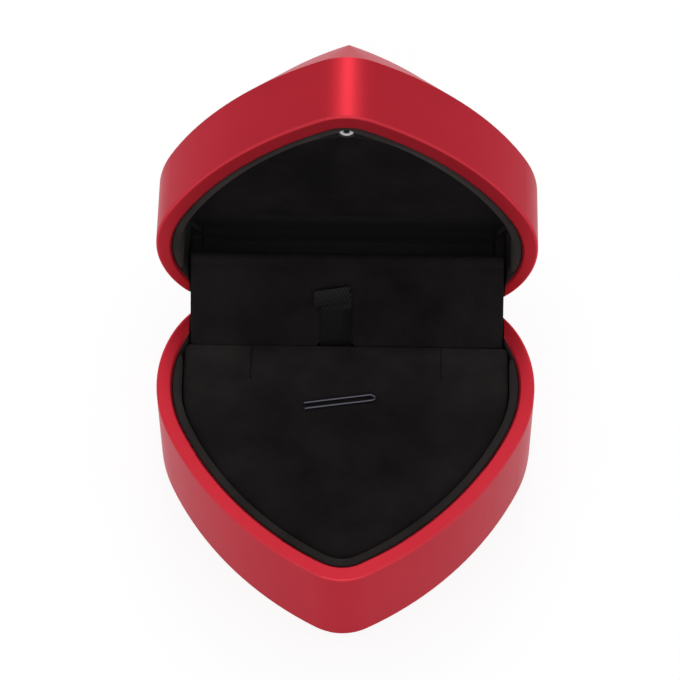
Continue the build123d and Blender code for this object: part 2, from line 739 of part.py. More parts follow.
with BuildPart() as circuit_screws:
    extrude(discs(in_lid(circuit_high), screw_radius, corners), amount=-circuit_screw_length)
    extrude(discs(in_lid(circuit_high), screw_head_radius, corners), amount=screw_head_height)
finish(circuit_screws, "circuit_screws")

# Battery holder with its button cell and spring contact
cell_place = [(cell_x, circuit_y)]
cell_low = circuit_high + holder_floor
cell_high = cell_low + cell_height
holder_radius = cell_radius + cell_clearance + holder_wall
with BuildPart() as battery_holder:
    extrude(discs(in_lid(circuit_high), holder_radius, cell_place), amount=cell_high - circuit_high)
    cup = discs(in_lid(cell_low), cell_radius + cell_clearance, cell_place)
    extrude(cup, amount=cell_height, mode=Mode.SUBTRACT)
finish(battery_holder, "battery_holder")

with BuildPart() as button_cell:
    extrude(discs(in_lid(cell_low), cell_radius, cell_place), amount=cell_height)
finish(button_cell, "button_cell")

with BuildPart() as battery_contact:
    half_strip = holder_radius + contact_thickness
    with BuildSketch(in_lid(circuit_high)):
        with Locations((cell_x, circuit_y)):
            Rectangle(contact_width, 2 * half_strip)
    extrude(amount=cell_high + contact_thickness - circuit_high)
    with BuildSketch(in_lid(circuit_high)):
        with Locations((cell_x, circuit_y)):
            Rectangle(contact_width, 2 * holder_radius)
    extrude(amount=cell_high - circuit_high, mode=Mode.SUBTRACT)
finish(battery_contact, "battery_contact")

# Sealed tilt switch that lights the lamp when the lid stands open
with BuildPart() as tilt_switch:
    switch_y = circuit_y + switch_length / 2
    switch_start = in_lid().from_local_coords((switch_x, switch_y, circuit_high + switch_radius))
    with BuildSketch(Plane(origin=switch_start, x_dir=(1, 0, 0), z_dir=in_lid().y_dir)):
        Circle(switch_radius)
    extrude(amount=-switch_length)
finish(tilt_switch, "tilt_switch")
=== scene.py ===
import json
from math import atan2, cos, degrees, exp, hypot, pi, radians, sin, sqrt

import bmesh
import bpy
import numpy as np
from mathutils import Matrix, Vector, noise
from mathutils.bvhtree import BVHTree
from mathutils.geometry import delaunay_2d_cdt

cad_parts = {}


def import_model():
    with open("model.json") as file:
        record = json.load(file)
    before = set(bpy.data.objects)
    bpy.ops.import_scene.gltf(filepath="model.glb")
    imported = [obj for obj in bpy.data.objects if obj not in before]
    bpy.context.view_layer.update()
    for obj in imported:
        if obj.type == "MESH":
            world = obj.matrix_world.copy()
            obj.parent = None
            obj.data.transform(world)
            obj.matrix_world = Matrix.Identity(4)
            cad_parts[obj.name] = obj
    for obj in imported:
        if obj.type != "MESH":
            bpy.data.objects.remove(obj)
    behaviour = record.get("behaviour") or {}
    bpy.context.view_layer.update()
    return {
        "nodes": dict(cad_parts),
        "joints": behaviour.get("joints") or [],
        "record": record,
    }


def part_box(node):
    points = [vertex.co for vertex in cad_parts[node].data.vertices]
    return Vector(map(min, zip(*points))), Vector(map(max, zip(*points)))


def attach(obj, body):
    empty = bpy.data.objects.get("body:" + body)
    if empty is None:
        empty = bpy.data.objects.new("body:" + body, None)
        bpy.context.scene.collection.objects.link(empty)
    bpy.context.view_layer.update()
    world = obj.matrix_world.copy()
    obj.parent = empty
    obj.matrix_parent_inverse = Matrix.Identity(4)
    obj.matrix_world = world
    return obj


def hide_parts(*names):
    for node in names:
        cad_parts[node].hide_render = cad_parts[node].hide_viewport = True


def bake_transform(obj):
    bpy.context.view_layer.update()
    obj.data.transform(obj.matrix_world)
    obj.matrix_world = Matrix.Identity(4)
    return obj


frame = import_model()
nodes = frame["nodes"]
mm = 0.001

# Hinge axis and rim, from the frame
joints = {joint["name"]: joint for joint in frame["joints"]}
hinge_y, rim_z = joints["lid_hinge"]["pos_m"][1:]
open_angle = joints["lid_hinge"]["range_deg"][1]
cover_angle = joints["cover_turn"]["range_deg"][1]

# Outline of the heart; this and the sizes of the pieces below are millimetres in the closed box, from its rim
half_width = 37.5
tip_reach = 44.35
tip_radius = 10.7
side_radius = 68.4
front_lobe_share = 0.7536
front_lobe_radius = front_lobe_share * half_width

# Where the shells are flocked, where the cover's pocket is, and how far the painted highlight along their
# rims' outer edges goes
flock_from = 0.7
flock_floor_from = 1.0
pocket_half = 31.8
pocket_front = 9.0
pocket_to_hinge = 1.6
pocket_from = 0.3
pocket_to = 13.5
highlight_reach = 0.55
inward_share = 0.3
facing_share = 0.5
highlight_outward_share = 0.2
highlight_flat_share = 0.96
highlight_steep_share = 0.12

# Suede pad of the base: its cloth starts sunk and swells, and a ripple is its height, width and seed
pad_inset = 5.2
pad_blunt = 1.0
pad_top = -1.3
pad_depth = 3.2
pad_to_hinge = 9.05
pad_back = hinge_y / mm - pad_to_hinge
pad_corner = 1.0
pad_round = 0.5
pad_back_round = 0.4
pad_sunk = 0.25
pad_swell = 0.4
pad_sewn_share = 0.9
pad_ripples = ((0.04, 11, 3), (0.02, 3.5, 8))
pad_shape = (pad_inset, pad_back, pad_corner, pad_blunt)

# Chain slits of the pad, with raised lips beside them
slit_x = 18.9
slit_length = 8.4
slit_depth = 0.4
slit_half = 0.12
lip_height = 0.12
lip_aside = 0.4
lip_half = 0.28

# Elastic loop: two strands over the pad, which draw together at their right end
elastic_left = (-7.95, -5.05)
elastic_right = (5.9, -2.85)
elastic_spread = 1.3
elastic_radius = 0.24
elastic_rise = 0.36
elastic_crown = 0.03
elastic_plunge = 0.7
elastic_past_left = 0.9
elastic_before_right = (1.4, 0.6)
elastic_gather_shares = (-0.9, -0.45)

# Dimples that the elastic draws into the pad
dimple_depth = 0.3
dimple_reach_squared = 1.6
dimple_held_share = 0.55
dimple_rings = (0.4, 0.9, 1.5, 2.2)
dimple_turns = 12

# Pull ribbon: glued under the board, bent up behind the pad and leaning on the cover, with a hem
ribbon_x = -2.15
ribbon_width = 6.2
ribbon_thickness = 0.4
ribbon_edge_share = 0.03
ribbon_bend = 1.2
ribbon_before_turn = 0.5
ribbon_free = 11.0
hem_width = 7.1
hem_length = 3.3
hem_tilt = 1.1
hem_shift = -0.85
hem_fold = 0.9
hem_out = 0.42

# Cover over the hinge: a flat face with a soft roll at its top, lifted where the ribbon passes under it
cover_half = 31.35
cover_to_hinge = 5.0
cover_front = hinge_y / mm - cover_to_hinge
cover_depth = 1.0
cover_back = cover_front + cover_depth
cover_low = -7.75
cover_edge = 0.2
cover_end = 0.5
cover_end_share = 0.8
cover_glued = 0.45
cover_swell = 0.12
cover_ripple = (0.05, 5, 2)
cover_lift = 0.75
cover_lift_from = -5.0
cover_lift_clear = 0.15
cover_lift_slope = 0.35
roll_rise = 10.0
roll_radius = 1.2
roll_set = 0.2
roll_turn = (245, -35)
roll_squeeze = 3
roll_ripple = (0.03, 1.6, 6)
roll_back_drop = 1.3
neck_drop = 1.35
neck_set = 0.08
face_rise = 0.8
face_drop = 1.7
face_high = roll_rise - face_drop

# Ceiling pad of the lid
ceiling_inset = 5.2
ceiling_blunt = 11.3
ceiling_face = 12.3
ceiling_to_hinge = 12.35
ceiling_back = hinge_y / mm - ceiling_to_hinge
ceiling_corner = 0.8
ceiling_round = 0.5
ceiling_depth = 0.38
ceiling_sunk = 0.12
ceiling_swell = 0.2
ceiling_sewn = 0.05
ceiling_ripple = (0.04, 9, 5)
ceiling_shape = (ceiling_inset, ceiling_back, ceiling_corner, ceiling_blunt)

# Collar of the lid: its roll stands up to the rim, and past a lit band along the rim the rest of its tip is
# painted darker suede, as painted shade
rim_width = 3.1
rim_corner = 1.0
collar_rise = 0.25
collar_top = 0.5
collar_roll = 1.1
lit_collar_width = 1.8
collar_tip_from = -24.0

# Lamp in the lid, and the clear lens that shows below its post, with painted shade of the collar's lip over
# the rest
led_y = -38.4
led_face = 1.2
lip_shade_drop = 1.15
lip_shade_edge = (1.5, 1.75)

# Meshes of the pads: spacing of their points, rings along their edges, and how near to these a point may be
foam_spacing = {"pad": 1.5, "ceiling": 1.6}
skin_spacing = {"pad": 1.1, "ceiling": 1.4}
foam_rings = (0.3, 0.7)
skin_rings = {"pad": (0.12, 0.3, 0.55, 0.85, 1.15), "ceiling": (0.1, 0.3, 0.6, 1.0)}
ring_corner_share = 0.4
row_share = 0.866
grid_edge_gap = 1.2
grid_gap_share = 0.6
skin_edge = 0.05
slit_step = 0.4
slit_back_gap = 0.3
slit_across = (-0.9, -0.5, -0.24, -0.12, 0, 0.12, 0.24, 0.5, 0.9)

# Meshes of the cover, the ribbon and the rounded solids: counts of points, voxels and rounds of smoothing
cover_face_points = 12
cover_end_stations = 6
cover_stations = 140
ribbon_points = {"glued": 12, "risen": 8, "leaning": 36, "hem": 12, "across": 17}
ribbon_bend_steps = 6
risen_from_share = 0.1
leaning_from_share = 0.06
flock_voxel, flock_rounds = 0.3, 6
felt_voxel, felt_rounds = 0.4, 2

# Cloth simulation: frames, and metres that stand for a millimetre while it runs
cloth_frames = 20
cloth_scale = 0.02

# Lamps of the studio, in metres and watts: place, aim, size and power
lamps = {
    "overhead": ((0.0, 0.28, 0.95), (0, 0, 0.03), (0.9, 0.9), 2.3),
    "strip": ((0.0, 0.95, 0.9), (0, 0.03, 0.08), (0.35, 0.35), 2.9),
    "front": ((0.0, -0.9, 0.75), (0, 0, 0.05), (1.0, 0.3), 2.5),
}
floor_reach = 6.0
floor_drop = 0.0001


def swung(angle):
    """Matrix from the closed box's millimetres, over the rim, to a body swung open by an angle."""
    turn = Matrix.Rotation(-radians(angle), 4, "X")
    return (
        Matrix.Translation((0, hinge_y, rim_z))
        @ turn
        @ Matrix.Translation((0, -hinge_y, 0))
        @ Matrix.Scale(mm, 4)
    )


in_base = swung(0)
in_cover = swung(cover_angle)
in_lid = swung(open_angle)


# Outlines and meshes


def arc(centre, radius, start, end, step):
    """Points along an arc, from one angle to another, in degrees."""
    count = max(2, int(abs(end - start) / step) + 1)
    turns = np.radians(np.linspace(start, end, count))
    return [(centre[0] + radius * cos(t), centre[1] + radius * sin(t)) for t in turns]


def well_outline(inset, back, corner, blunt):
    """The heart's front, drawn in by an inset, with a blunter tip, straight flanks and a square back."""
    tip_step, side_step, lobe_step, corner_step = 3, 0.8, 2, 15
    flank_count, back_count = 9, 60
    lobe_x = half_width - front_lobe_radius
    tip_y = tip_radius - tip_reach
    lobe_to_tip = hypot(lobe_x, tip_y)
    lobe_to_side = side_radius - front_lobe_radius
    tip_to_side = side_radius - tip_radius
    along = (lobe_to_side**2 - tip_to_side**2 + lobe_to_tip**2) / (2 * lobe_to_tip)
    aside = sqrt(lobe_to_side**2 - along**2)
    side_x = lobe_x - (along * lobe_x - aside * tip_y) / lobe_to_tip
    side_y = (along * tip_y + aside * lobe_x) / lobe_to_tip
    lobe_angle = degrees(atan2(-side_y, lobe_x - side_x))
    side, nose = side_radius - inset, tip_radius - inset + blunt
    nose_y = side_y - sqrt((side - nose) ** 2 - side_x**2)
    side_start = degrees(atan2(nose_y - side_y, -side_x))
    right = arc((0, nose_y), nose, -90, side_start, tip_step)
    right += arc((side_x, side_y), side, side_start, lobe_angle, side_step)[1:]
    right += arc((lobe_x, 0), front_lobe_radius - inset, lobe_angle, 0, lobe_step)[1:]
    flank = half_width - inset
    right += [(flank, y) for y in np.linspace(0, back - corner, flank_count)[1:-1]]
    right += arc((flank - corner, back - corner), corner, 0, 90, corner_step)
    left = [(-x, y) for x, y in reversed(right)]
    across = [(x, back) for x in np.linspace(flank - corner, corner - flank, back_count)[1:-1]]
    return right + across + left[:-1]


def rings_in(shape, steps):
    """A well's outlines drawn further and further in."""
    inset, back, corner, blunt = shape
    rings = []
    for step in steps:
        rings.append(well_outline(inset + step, back - step, corner - ring_corner_share * step, blunt))
    return rings


def linked(name, data):
    """A new object in the scene."""
    obj = bpy.data.objects.new(name, data)
    bpy.context.scene.collection.objects.link(obj)
    return obj


def new_object(name, verts, faces, matrix):
    """A smooth-shaded mesh object from points in a body's millimetres."""
    mesh = bpy.data.meshes.new(name)
    mesh.from_pydata([matrix @ Vector(v) for v in verts], [], faces)
    mesh.update()
    made = bmesh.new()
    made.from_mesh(mesh)
    bmesh.ops.remove_doubles(made, verts=made.verts, dist=1e-7)
    bmesh.ops.recalc_face_normals(made, faces=made.faces)
    made.to_mesh(mesh)
    made.free()
    mesh.shade_smooth()
    return linked(name, mesh)


def row_faces(rows, ring):
    """Faces between rows of points and over both ends, where ring is the order of a row's points."""
    count = len(ring)
    faces = []
    for row in range(rows - 1):
        near, far = row * count, (row + 1) * count
        for a, b in zip(ring, ring[1:] + ring[:1]):
            faces.append((near + a, near + b, far + b, far + a))
    last = (rows - 1) * count
    return faces + [tuple(ring), tuple(last + a for a in ring)]


def distance_to(points, line):
    """Least distance from each point to a closed line."""
    start = np.array(line)
    run = np.roll(start, -1, axis=0) - start
    length = (run**2).sum(1)
    offset = points[:, None, :] - start[None]
    share = np.clip((offset * run).sum(2) / length, 0, 1)
    return np.sqrt(((offset - share[..., None] * run) ** 2).sum(2)).min(1)


def inside(points, line):
    """Whether each point lies inside a closed line."""
    found = np.zeros(len(points), bool)
    ends = np.roll(np.array(line), -1, axis=0)
    for (ax, ay), (bx, by) in zip(line, ends):
        crosses = (ay > points[:, 1]) != (by > points[:, 1])
        if abs(by - ay) > 1e-12:
            at = ax + (points[:, 1] - ay) * (bx - ax) / (by - ay)
            found ^= crosses & (points[:, 0] < at)
    return found


def grid_inside(outline, spacing, extra):
    """A triangular grid inside an outline, clear of its edge and of extra points."""
    low, high = np.min(outline, axis=0), np.max(outline, axis=0)
    grid = []
    for row, y in enumerate(np.arange(low[1], high[1], spacing * row_share)):
        shift = spacing / 2 * (row % 2)
        grid += [(x + shift, y) for x in np.arange(low[0], high[0], spacing)]
    grid = np.array(grid)
    grid = grid[inside(grid, outline)]
    grid = grid[distance_to(grid, outline) > grid_edge_gap]
    if extra:
        near = np.min(np.linalg.norm(grid[:, None] - np.array(extra)[None], axis=2), axis=1)
        grid = grid[near > spacing * grid_gap_share]
    return [tuple(p) for p in grid]


def upholstered(name, shape, steps, height, depth, extra, spacing, matrix):
    """A cloth-covered pad: a fine skin over a well's outline, with sides and a bottom.

    steps are the distances of rings along its edge, height gives the skin's place over a point at a
    distance from the edge, and extra are points that the skin needs for its slits and dimples.
    """
    outline = well_outline(*shape)
    ring = list(range(len(outline)))
    edges = list(zip(ring, ring[1:] + ring[:1]))
    points = list(outline)
    for inner in rings_in(shape, steps):
        points += inner
    points += extra + grid_inside(outline, spacing, extra)
    flat, _, triangles = delaunay_2d_cdt([Vector(p) for p in points], edges, [], 0, 1e-5)[:3]
    flat = np.array([tuple(p) for p in flat])
    middles = np.array([flat[list(t)].mean(0) for t in triangles])
    triangles = [tuple(t) for t, kept in zip(triangles, inside(middles, outline)) if kept]
    edge = distance_to(flat, outline)
    verts = [(x, y, height(x, y, d)) for (x, y), d in zip(flat, edge)]
    top = new_object(name, verts, triangles, matrix)
    close_below(top.data, matrix.to_3x3() @ Vector((0, 0, -depth)))
    return top


def close_below(mesh, down):
    """Draw sides down from a skin's border, and fill the bottom."""
    skirt = bmesh.new()
    skirt.from_mesh(mesh)
    border = [e for e in skirt.edges if e.is_boundary]
    drawn = bmesh.ops.extrude_edge_only(skirt, edges=border)["geom"]
    bmesh.ops.translate(skirt, verts=[g for g in drawn if isinstance(g, bmesh.types.BMVert)], vec=down)
    border = [e for e in skirt.edges if e.is_boundary]
    bmesh.ops.triangle_fill(skirt, edges=border, use_beauty=True)
    bmesh.ops.recalc_face_normals(skirt, faces=skirt.faces)
    skirt.to_mesh(mesh)
    skirt.free()
    mesh.shade_smooth()


def settle(obj, held, pressure, limit):
    """Swell a pad's cloth by simulation, keeping each point within a limit of where it began.

    The object is in millimetres, and is made larger while the cloth moves. held tells which points
    stay where they are.
    """
    begin = np.array([tuple(v.co) for v in obj.data.vertices])
    work = linked("settling", obj.data.copy())
    work.data.vertices.foreach_set("co", (begin * cloth_scale).ravel())
    group = work.vertex_groups.new(name="held")
    group.add([i for i, spot in enumerate(begin) if held(*spot)], 1.0, "REPLACE")
    cloth = work.modifiers.new("cloth", "CLOTH").settings
    cloth.quality = 6
    cloth.mass = 0.3
    cloth.air_damping = 4
    cloth.tension_stiffness = cloth.compression_stiffness = 15
    cloth.shear_stiffness = 5
    cloth.bending_stiffness = 0.5
    cloth.use_pressure = True
    cloth.uniform_pressure_force = pressure
    cloth.effector_weights.gravity = 0
    cloth.vertex_group_mass = "held"
    scene = bpy.context.scene
    for step in range(1, cloth_frames + 1):
        scene.frame_set(step)
    moved = work.evaluated_get(bpy.context.evaluated_depsgraph_get()).data
    move = np.array([tuple(v.co) for v in moved.vertices]) / cloth_scale - begin
    length = np.maximum(np.linalg.norm(move, axis=1), 1e-9)
    move *= (limit * np.tanh(length / limit) / length)[:, None]
    obj.data.vertices.foreach_set("co", (begin + move).ravel())
    obj.data.update()
    bpy.data.objects.remove(work)
    scene.frame_set(1)


def skin_over(obj):
    """A function for the height of a pad's skin over a place, which gives nothing beside the pad."""
    tree = BVHTree.FromObject(obj, bpy.context.evaluated_depsgraph_get())
    well_above = 50

    def height(x, y):
        spot = tree.ray_cast(Vector((x, y, well_above)), Vector((0, 0, -1)))[0]
        return spot.z if spot else None

    return height


def settled_skin(piece, shape, start, held, depth, extra, pressure, limit):
    """The skin of a pad's foam after its cloth has settled, as a function for its height."""
    foam = upholstered("foam", shape, foam_rings, start, depth, extra, foam_spacing[piece], Matrix())
    settle(foam, held, pressure, limit)
    height = skin_over(foam)
    bpy.data.objects.remove(foam)
    return height


def rounded(distance, radius):
    """Drop of a rounded edge at a distance from it."""
    if distance >= radius:
        return 0.0
    return radius - sqrt(radius**2 - (radius - distance) ** 2)


def ripple(x, y, rise, width, seed):
    """Smooth unevenness of a cloth surface, up to a rise either way."""
    return rise * noise.noise(Vector((x / width, y / width, seed)))


# Materials


def material(name):
    """A new node material, its node tree and its shader."""
    made = bpy.data.materials.new(name)
    made.use_nodes = True
    tree = made.node_tree
    return made, tree, tree.nodes["Principled BSDF"]


def set_inputs(node, values):
    """Give some of a node's inputs fixed values."""
    for name, value in values.items():
        node.inputs[name].default_value = value


def add(tree, kind, **values):
    """A node with some of its inputs or settings given."""
    node = tree.nodes.new(kind)
    for key, value in values.items():
        if key in node.inputs:
            node.inputs[key].default_value = value
        else:
            setattr(node, key, value)
    return node


def place(tree):
    """Position in the object's own frame, in millimetres, for textures that stay with the piece."""
    coordinates = add(tree, "ShaderNodeTexCoord")
    mapping = add(tree, "ShaderNodeMapping", Scale=(1 / mm, 1 / mm, 1 / mm))
    tree.links.new(coordinates.outputs["Object"], mapping.inputs["Vector"])
    return mapping.outputs["Vector"]


def along_axes(tree, vector):
    """The three parts of a vector, by the names of their axes."""
    node = add(tree, "ShaderNodeSeparateXYZ")
    tree.links.new(vector, node.inputs["Vector"])
    return node.outputs


def maths(tree, operation, *values):
    """An operation on values, each of them a socket or a number."""
    node = add(tree, "ShaderNodeMath", operation=operation)
    for socket, value in zip(node.inputs, values):
        if isinstance(value, float):
            socket.default_value = value
        else:
            tree.links.new(value, socket)
    return node.outputs["Value"]


def times(tree, colour, factor, operation="SCALE"):
    """A colour times a number, or with MULTIPLY times another colour."""
    node = add(tree, "ShaderNodeVectorMath", operation=operation)
    tree.links.new(colour, node.inputs[0])
    tree.links.new(factor, node.inputs["Scale" if operation == "SCALE" else 1])
    return node.outputs["Vector"]


def distance_from(tree, spot, point):
    """Distance of a position from a point."""
    node = add(tree, "ShaderNodeVectorMath", operation="DISTANCE")
    node.inputs[1].default_value = point
    tree.links.new(spot, node.inputs[0])
    return node.outputs["Value"]


def map_range(tree, value, start=0.0, end=1.0, low=0.0, high=1.0, kind="LINEAR"):
    """A value that goes from low to high as another goes from start to end."""
    node = add(tree, "ShaderNodeMapRange", interpolation_type=kind)
    set_inputs(node, {"From Min": start, "From Max": end, "To Min": low, "To Max": high})
    tree.links.new(value, node.inputs["Value"])
    return node.outputs["Result"]


def noise_at(tree, vector, scale, detail=3.0, rough=0.5):
    """Smooth noise at a position."""
    node = add(tree, "ShaderNodeTexNoise", Scale=scale, Detail=detail, Roughness=rough)
    tree.links.new(vector, node.inputs["Vector"])
    return node.outputs["Fac"]


def ramp(tree, value, stops):
    """Colours along a value."""
    node = add(tree, "ShaderNodeValToRGB")
    elements = node.color_ramp.elements
    elements[0].position, elements[0].color = stops[0][0], (*stops[0][1], 1)
    elements[1].position, elements[1].color = stops[-1][0], (*stops[-1][1], 1)
    for position, colour in stops[1:-1]:
        elements.new(position).color = (*colour, 1)
    tree.links.new(value, node.inputs["Fac"])
    return node.outputs["Color"]


def bump(tree, height, shader, strength, distance, before=None):
    """A bump node before the shader, on top of another if one is given."""
    node = add(tree, "ShaderNodeBump", Strength=strength, Distance=distance)
    tree.links.new(height, node.inputs["Height"])
    if before:
        tree.links.new(before.outputs["Normal"], node.inputs["Normal"])
    tree.links.new(node.outputs["Normal"], shader.inputs["Normal"])
    return node


def lacquer(name, dark, light):
    """Red satin lacquer over a metallic ground, with a faint unevenness."""
    made, tree, shader = material(name)
    spot = place(tree)
    colour = ramp(tree, noise_at(tree, spot, 0.06), [(0.3, dark), (0.7, light)])
    tree.links.new(colour, shader.inputs["Base Color"])
    rough = map_range(tree, noise_at(tree, spot, 0.35, 4), low=0.31, high=0.36)
    tree.links.new(rough, shader.inputs["Roughness"])
    set_inputs(shader, {"Metallic": 0.6, "Specular IOR Level": 0.07, "Specular Tint": (1, 0.5, 0.56, 1)})
    bump(tree, noise_at(tree, spot, 1.6, 2), shader, 0.05, 0.00005)
    return made


def suede(name, tones, sheen, axis="Y", painted_light=(-7.0, 7.0, 1.0)):
    """Black napped suede: short fibres, with lighter and darker strokes of the nap.

    tones are its dark and its light colour. The last argument gives two places along an axis in millimetres,
    and how many times lighter it is painted at the second, as painted light.
    """
    made, tree, shader = material(name)
    spot = place(tree)
    axes = along_axes(tree, spot)
    # Painted sheen: lighter towards the sides, from 12 to 30 mm out from the middle
    side_sheen_from, side_sheen_to = 12.0, 30.0
    aside = maths(tree, "ABSOLUTE", axes["X"])
    side_sheen = map_range(tree, aside, side_sheen_from, side_sheen_to, high=0.2, kind="SMOOTHSTEP")
    strokes_and_sheen = maths(tree, "ADD", noise_at(tree, spot, 0.09, 4, 0.6), side_sheen)
    colour = ramp(tree, strokes_and_sheen, list(zip((0.3, 0.85), tones)))
    # Painted light: lighter along the given axis, by the given gain at its second place
    light_from, light_to, gain = painted_light
    lighter = map_range(tree, axes[axis], light_from, light_to, 1.0, gain)
    tree.links.new(times(tree, colour, lighter), shader.inputs["Base Color"])
    set_inputs(shader, {"Roughness": 0.95, "Specular IOR Level": 0.08})
    set_inputs(shader, {"Sheen Weight": sheen, "Sheen Roughness": 0.45, "Sheen Tint": (0.9, 0.85, 0.84, 1)})
    first = bump(tree, noise_at(tree, spot, 0.5, 3), shader, 0.25, 0.0002)
    bump(tree, noise_at(tree, spot, 6.0, 2, 0.7), shader, 0.55, 0.00012, first)
    return made


def plain(name, colour, rough, metal=0.0, grain=3.0, depth=0.1):
    """A rigid material with a fine grain in its colour, roughness and surface."""
    made, tree, shader = material(name)
    speckle = noise_at(tree, place(tree), grain, 4)
    darker = tuple(c * 0.86 for c in colour)
    tree.links.new(ramp(tree, speckle, [(0.3, darker), (0.7, colour)]), shader.inputs["Base Color"])
    spread = map_range(tree, speckle, low=rough * 0.85, high=min(1.0, rough * 1.15))
    tree.links.new(spread, shader.inputs["Roughness"])
    shader.inputs["Metallic"].default_value = metal
    bump(tree, speckle, shader, depth, 0.00005)
    return made


def card():
    """Black flocked card, with painted light and shade by its height in the lid's pocket.

    Its tones are brightnesses at shares of the pocket's height over the floor.
    """
    made, tree, shader = material("black_card")
    spot = place(tree)
    pocket_low, pocket_high = 24.0, 36.0
    height = map_range(tree, along_axes(tree, spot)["Z"], pocket_low, pocket_high)
    # Painted light and shade: brightest low in the pocket, darkest near its middle, a little lighter at its
    # top
    tones = ((0.167, 0.05), (0.283, 0.0245), (0.458, 0.0145), (0.65, 0.0116), (0.75, 0.016))
    stops = [(share, (tone, 0.89 * tone, 0.91 * tone)) for share, tone in tones]
    tree.links.new(ramp(tree, height, stops), shader.inputs["Base Color"])
    set_inputs(shader, {"Roughness": 0.95, "Specular IOR Level": 0.1})
    bump(tree, noise_at(tree, spot, 6.0, 2, 0.7), shader, 0.5, 0.0001)
    return made


def twill():
    """Black ribbon with a diagonal twill, drawn along the ribbon's own width and length.

    Its coordinates are millimetres across it, and along it from its free end. Painted shade darkens it
    from that end on, below a painted highlight at the hem's top, and painted shade darkens its right
    edge, but not on the hem.
    """
    made, tree, shader = material("twill_ribbon")
    coordinates = add(tree, "ShaderNodeUVMap", uv_map="ribbon").outputs["UV"]
    turn = add(tree, "ShaderNodeMapping", Rotation=(0, 0, radians(24)), Scale=(0.62, 0.62, 0.62))
    tree.links.new(coordinates, turn.inputs["Vector"])
    diagonal = add(tree, "ShaderNodeTexWave", Scale=1.0, Distortion=0.4, Detail=2.0)
    diagonal.wave_type, diagonal.bands_direction = "BANDS", "X"
    tree.links.new(turn.outputs["Vector"], diagonal.inputs["Vector"])
    weave = diagonal.outputs["Fac"]
    colour = ramp(tree, weave, [(0.25, (0.0044, 0.0044, 0.0048)), (0.8, (0.03, 0.03, 0.031))])
    axes = along_axes(tree, coordinates)
    toned_length = 12
    # Painted shade down the strap, below a painted highlight at the hem's top
    tones = ((-11.0, 0.1), (-3.4, 0.27), (-3.3, 0.4), (-2.3, 0.5), (-0.9, 0.8), (0.0, 1.0))
    stops = [(1 + at / toned_length, (tone, tone, tone)) for at, tone in tones]
    tone = ramp(tree, map_range(tree, axes["Y"], -toned_length, 0.0), stops)
    shade_from, shade_to = 0.9, 2.2
    right_edge_shade = map_range(tree, axes["X"], shade_from, shade_to, 1.0, 0.15)
    on_hem = maths(tree, "GREATER_THAN", axes["Y"], -hem_length)
    edge = maths(tree, "MAXIMUM", right_edge_shade, on_hem)
    toned = times(tree, colour, tone, "MULTIPLY")
    tree.links.new(times(tree, toned, edge), shader.inputs["Base Color"])
    set_inputs(shader, {"Roughness": 0.7, "Specular IOR Level": 0.1})
    bump(tree, weave, shader, 0.7, 0.00012)
    return made


def elastic():
    """Dark navy elastic under a fine braided cover."""
    made, tree, shader = material("navy_elastic")
    wave = add(tree, "ShaderNodeTexWave", Scale=1.6, Distortion=0.6, bands_direction="X")
    tree.links.new(place(tree), wave.inputs["Vector"])
    braid = wave.outputs["Fac"]
    colour = ramp(tree, braid, [(0.2, (0.008, 0.008, 0.02)), (0.8, (0.02, 0.019, 0.045))])
    tree.links.new(colour, shader.inputs["Base Color"])
    set_inputs(shader, {"Roughness": 0.3, "Coat Weight": 1.0, "Coat Roughness": 0.15})
    bump(tree, braid, shader, 0.3, 0.00008)
    return made


def resin():
    """Clear moulded resin of the lamp: a dark post shows inside it, and painted shade of the collar's lip
    darkens its upper half.
    """
    made, tree, shader = material("clear_lamp")
    spot = place(tree)
    post = in_lid @ Vector((0, led_y, led_face)) / mm
    # Painted shade: outside a circle set below the post, the lamp is darkened as if shaded by the collar's
    # lip
    lens = post - Vector((0, 0, lip_shade_drop))
    lit = map_range(tree, distance_from(tree, spot, lens), *lip_shade_edge, 1.0, 0.0)
    clear = maths(tree, "MULTIPLY", distance_from(tree, spot, post), lit)
    dark = [(0.0, (0.012, 0.012, 0.013)), (0.5, (0.03, 0.03, 0.035))]
    light = [(0.75, (0.76, 0.74, 0.75)), (1.0, (0.9, 0.88, 0.89))]
    tree.links.new(ramp(tree, clear, dark + light), shader.inputs["Base Color"])
    set_inputs(shader, {"Roughness": 0.14, "Transmission Weight": 0.15, "IOR": 1.5})
    return made


suede_tones = ((0.006, 0.0051, 0.0056), (0.0158, 0.0133, 0.0136))
flock_tones = ((0.016, 0.0135, 0.0132), (0.034, 0.0288, 0.0275))
felt_tones = ((0.012, 0.012, 0.012), (0.025, 0.025, 0.025))
suede_sheen, flock_sheen, felt_sheen = 0.02, 0.05, 0.1
looks = {
    "red_lacquer": lacquer("red_lacquer", (0.448, 0.0196, 0.0322), (0.476, 0.0224, 0.0357)),
    "black_suede": suede("black_suede", suede_tones, suede_sheen),
    "black_flock": suede("black_flock", flock_tones, flock_sheen),
    "black_felt": suede("black_felt", felt_tones, felt_sheen),
    "black_card": card(),
    "twill_ribbon": twill(),
    "navy_elastic": elastic(),
    "steel": plain("steel", (0.6, 0.6, 0.61), 0.32, 1.0, 6.0, 0.08),
    "brass": plain("brass", (0.72, 0.53, 0.24), 0.3, 1.0, 6.0, 0.08),
    "clear_lamp": resin(),
    "black_plastic": plain("black_plastic", (0.012, 0.012, 0.012), 0.45),
    "green_board": plain("green_board", (0.02, 0.13, 0.05), 0.4),
}
# Lighter copies of the lacquer: a painted highlight along the rims' rounded outer edges
highlight_lacquers = {
    "base_shell": lacquer("red_lacquer_base_painted_highlight", (0.651, 0.0406, 0.0602), (0.686, 0.0448, 0.0658)),
    "lid_shell": lacquer("red_lacquer_lid_painted_highlight", (0.567, 0.0336, 0.0504), (0.602, 0.0371, 0.0553)),
}
